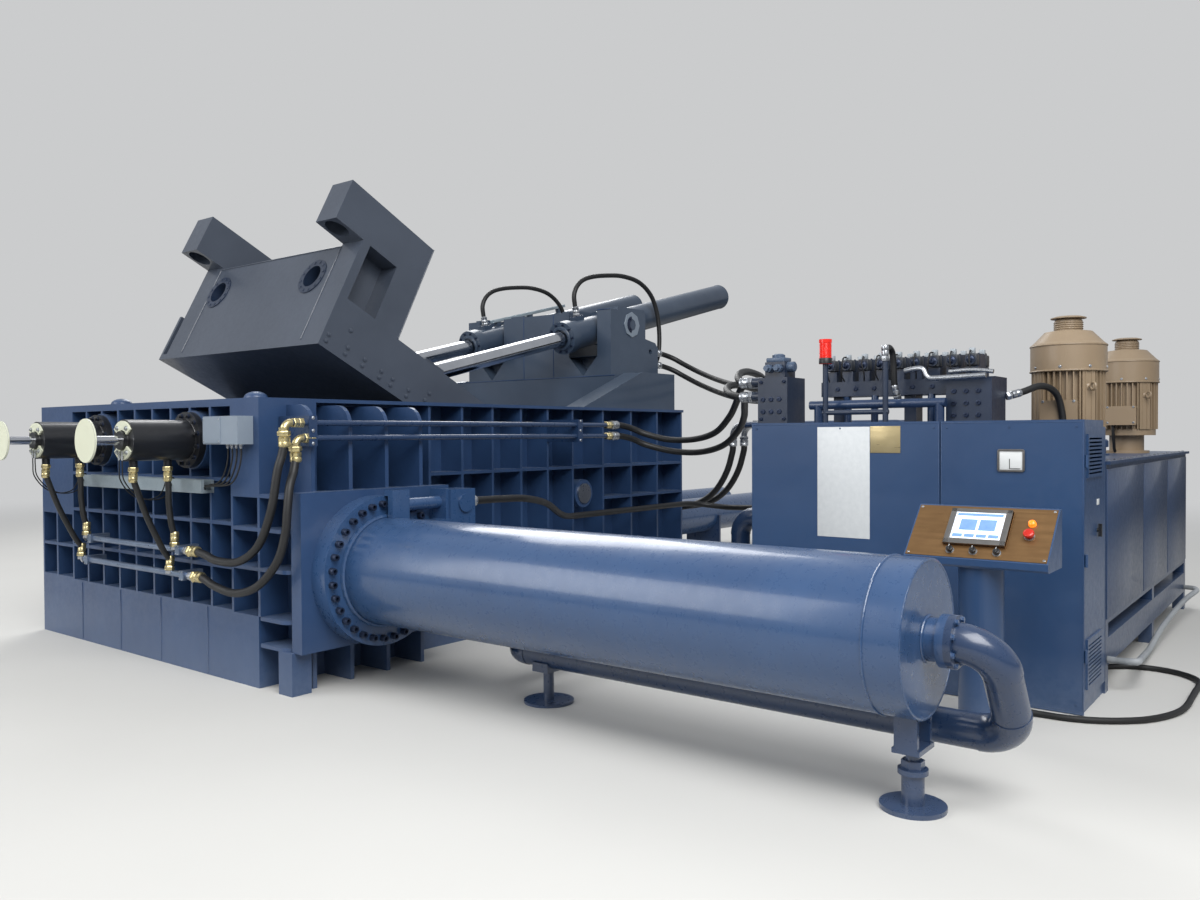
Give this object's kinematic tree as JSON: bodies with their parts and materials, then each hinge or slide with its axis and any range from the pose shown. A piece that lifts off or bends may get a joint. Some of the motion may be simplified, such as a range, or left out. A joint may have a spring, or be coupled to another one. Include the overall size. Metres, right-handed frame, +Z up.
{
  "type": "recycling baler",
  "caption": "Hydraulic metal baler: ribbed press box with hinged hooked lid, lock pins, side and main rams, side cylinder, power unit with pump motors and a sloped operator console.",
  "frame": {"origin": "centre of the press box's base on the floor", "axes": "+X along the press box from the lock end wall to the main cylinders, +Y away from the side cylinder and power unit, +Z up"},
  "size_m": [9.702, 7.8594, 3.4731],
  "materials": {
    "base_frame": "satin blue machine paint",
    "end_wall": "satin blue machine paint",
    "near_wall": "satin blue machine paint",
    "far_wall": "satin blue machine paint",
    "rear_wall": "satin blue machine paint",
    "top_deck": "satin blue machine paint",
    "floor_liner": "worn dark steel",
    "cylinder_mount": "satin blue machine paint",
    "locating_domes": "satin blue machine paint",
    "cylinder_tower": "satin blue machine paint",
    "hinge_pins": "turned steel",
    "side_cylinder": "glossy blue machine paint",
    "side_flange_bolts": "dark painted bolts",
    "oil_pipe": "glossy blue machine paint",
    "port_block": "glossy blue machine paint",
    "jack_stand": "satin blue machine paint",
    "pipe_stand": "satin blue machine paint",
    "main_cylinders": "glossy blue machine paint",
    "main_cylinder_feet": "satin blue machine paint",
    "gate_cylinder": "satin blue machine paint",
    "lock_cylinder_near": "black machine paint",
    "lock_cylinder_far": "black machine paint",
    "side_pipes": "satin blue machine paint",
    "lock_pipes": "drawn steel tube, tinted blue",
    "junction_box": "grey enamel",
    "cable_tray": "pale galvanised sheet",
    "loop_hoses": "black hydraulic hose",
    "lock_hoses": "black hydraulic hose",
    "lid_hose_near": "black hydraulic hose",
    "lid_hose_far": "black hydraulic hose",
    "supply_hoses": "black hydraulic hose",
    "lid_shell": "satin grey-blue machine paint",
    "lid_sleeves": "dark painted ring",
    "lid_rod_pins": "turned steel",
    "lid_cylinder_near": "glossy dark blue paint",
    "lid_cylinder_far": "glossy dark blue paint",
    "lid_rod_near": "polished hard chrome",
    "lid_rod_far": "polished hard chrome",
    "lock_pin_near": "steel pin with a pale painted disc",
    "lock_pin_far": "steel pin with a pale painted disc",
    "side_ram": "ground steel platen and chromed ram",
    "main_ram": "ground steel platen and chromed rams",
    "bale_gate": "satin blue machine paint",
    "cabinet": "satin blue enamel",
    "cabinet_panels": "satin blue enamel",
    "switchgear": "grey plastic housings on a plate",
    "cabinet_door": "satin blue enamel",
    "door_latch": "dark latch",
    "oil_tank": "satin blue enamel",
    "floor_cable": "black cable sheath",
    "motor_front": "beige enamel",
    "motor_rear": "beige enamel",
    "valve_bank": "dark painted valve bodies",
    "beacon": "red lamp on a steel post",
    "console_stand": "satin blue enamel",
    "operator_screen": "brushed copper-brown panel",
    "stop_button": "red push button",
    "selector_left": "black knob",
    "selector_middle": "black knob",
    "selector_right": "black knob"
  },
  "bodies": {
    "press": {"base_frame": "base_frame", "end_wall": "end_wall", "near_wall": "near_wall", "far_wall": "far_wall", "rear_wall": "rear_wall", "top_deck": "top_deck", "floor_liner": "floor_liner", "cylinder_mount": "cylinder_mount", "locating_domes": "locating_domes", "cylinder_tower": "cylinder_tower", "hinge_pins": "hinge_pins", "side_cylinder": "side_cylinder", "side_flange_bolts": "side_flange_bolts", "oil_pipe": "oil_pipe", "port_block": "port_block", "jack_stand": "jack_stand", "pipe_stand": "pipe_stand", "main_cylinders": "main_cylinders", "main_cylinder_feet": "main_cylinder_feet", "gate_cylinder": "gate_cylinder", "lock_cylinder_near": "lock_cylinder_near", "lock_cylinder_far": "lock_cylinder_far", "side_pipes": "side_pipes", "lock_pipes": "lock_pipes", "junction_box": "junction_box", "cable_tray": "cable_tray", "loop_hoses": "loop_hoses", "lock_hoses": "lock_hoses", "lid_hose_near": "lid_hose_near", "lid_hose_far": "lid_hose_far", "supply_hoses": "supply_hoses", "cabinet": "cabinet", "cabinet_panels": "cabinet_panels", "switchgear": "switchgear", "oil_tank": "oil_tank", "floor_cable": "floor_cable", "motor_front": "motor_front", "motor_rear": "motor_rear", "valve_bank": "valve_bank", "beacon": "beacon", "console_stand": "console_stand", "operator_screen": "operator_screen"},
    "lid": {"lid_shell": "lid_shell", "lid_sleeves": "lid_sleeves", "lid_rod_pins": "lid_rod_pins"},
    "lid_barrel_near": {"lid_cylinder_near": "lid_cylinder_near"},
    "lid_barrel_far": {"lid_cylinder_far": "lid_cylinder_far"},
    "lid_piston_near": {"lid_rod_near": "lid_rod_near"},
    "lid_piston_far": {"lid_rod_far": "lid_rod_far"},
    "near_lock_pin": {"lock_pin_near": "lock_pin_near"},
    "far_lock_pin": {"lock_pin_far": "lock_pin_far"},
    "side_ram_body": {"side_ram": "side_ram"},
    "main_ram_body": {"main_ram": "main_ram"},
    "gate": {"bale_gate": "bale_gate"},
    "side_door": {"cabinet_door": "cabinet_door"},
    "side_latch": {"door_latch": "door_latch"},
    "button": {"stop_button": "stop_button"},
    "knob_left": {"selector_left": "selector_left"},
    "knob_middle": {"selector_middle": "selector_middle"},
    "knob_right": {"selector_right": "selector_right"}
  },
  "joints": [
    {"name": "lid_hinge", "type": "hinge", "parent": "press", "child": "lid", "pos_m": [0.83, -0.115, 1.07], "axis": [0, 1, 0], "range_deg": [-27, 33]},
    {"name": "near_cylinder_tilt", "type": "hinge", "parent": "press", "child": "lid_barrel_near", "pos_m": [2.15, -0.775, 2.728], "axis": [0, 1, 0], "range_deg": [-10, 12.2], "deforming": ["lid_hose_near"]},
    {"name": "near_rod_stroke", "type": "slide", "parent": "lid_barrel_near", "child": "lid_piston_near", "axis": [-0.971, 0, -0.2391], "range_m": [-0.78, 0.64]},
    {"name": "far_cylinder_tilt", "type": "hinge", "parent": "press", "child": "lid_barrel_far", "pos_m": [2.15, 0.525, 2.728], "axis": [0, 1, 0], "range_deg": [-10, 12.2], "deforming": ["lid_hose_far"]},
    {"name": "far_rod_stroke", "type": "slide", "parent": "lid_barrel_far", "child": "lid_piston_far", "axis": [-0.971, 0, -0.2391], "range_m": [-0.78, 0.64]},
    {"name": "near_lock_stroke", "type": "slide", "parent": "press", "child": "near_lock_pin", "axis": [1, 0, 0], "range_m": [0, 0.2]},
    {"name": "far_lock_stroke", "type": "slide", "parent": "press", "child": "far_lock_pin", "axis": [1, 0, 0], "range_m": [0, 0.2]},
    {"name": "side_ram_stroke", "type": "slide", "parent": "press", "child": "side_ram_body", "axis": [0, 1, 0], "range_m": [0, 2.19]},
    {"name": "main_ram_stroke", "type": "slide", "parent": "press", "child": "main_ram_body", "axis": [-1, 0, 0], "range_m": [0, 2.09]},
    {"name": "gate_stroke", "type": "slide", "parent": "press", "child": "gate", "axis": [1, 0, 0], "range_m": [0, 0.74]},
    {"name": "side_door_hinge", "type": "hinge", "parent": "press", "child": "side_door", "pos_m": [0.014, -5.8344, 0.85], "axis": [0, 0, -1], "range_deg": [0, 110]},
    {"name": "side_latch_turn", "type": "hinge", "parent": "side_door", "child": "side_latch", "pos_m": [0.35, -5.825, 1.022], "axis": [0, 1, 0], "range_deg": [0, 90]},
    {"name": "stop_button_travel", "type": "slide", "parent": "press", "child": "button", "axis": [0.7071, 0, -0.7071], "range_m": [0, 0.006], "stiffness_N_per_m": 800, "springref_m": -0.004},
    {"name": "left_selector_turn", "type": "hinge", "parent": "press", "child": "knob_left", "pos_m": [-0.72464, -5.3175, 0.97036], "axis": [-0.7071, 0, 0.7071], "range_deg": [-45, 45]},
    {"name": "middle_selector_turn", "type": "hinge", "parent": "press", "child": "knob_middle", "pos_m": [-0.72464, -5.4375, 0.97036], "axis": [-0.7071, 0, 0.7071], "range_deg": [-45, 45]},
    {"name": "right_selector_turn", "type": "hinge", "parent": "press", "child": "knob_right", "pos_m": [-0.72464, -5.5575, 0.97036], "axis": [-0.7071, 0, 0.7071], "range_deg": [-45, 45]}
  ],
  "couplings": [
    {"joint": "near_cylinder_tilt", "follows": "lid_hinge", "ratio": 0.36},
    {"joint": "near_rod_stroke", "follows": "lid_hinge", "m_per_rad": -1.32},
    {"joint": "far_cylinder_tilt", "follows": "lid_hinge", "ratio": 0.36},
    {"joint": "far_rod_stroke", "follows": "lid_hinge", "m_per_rad": -1.32}
  ]
}
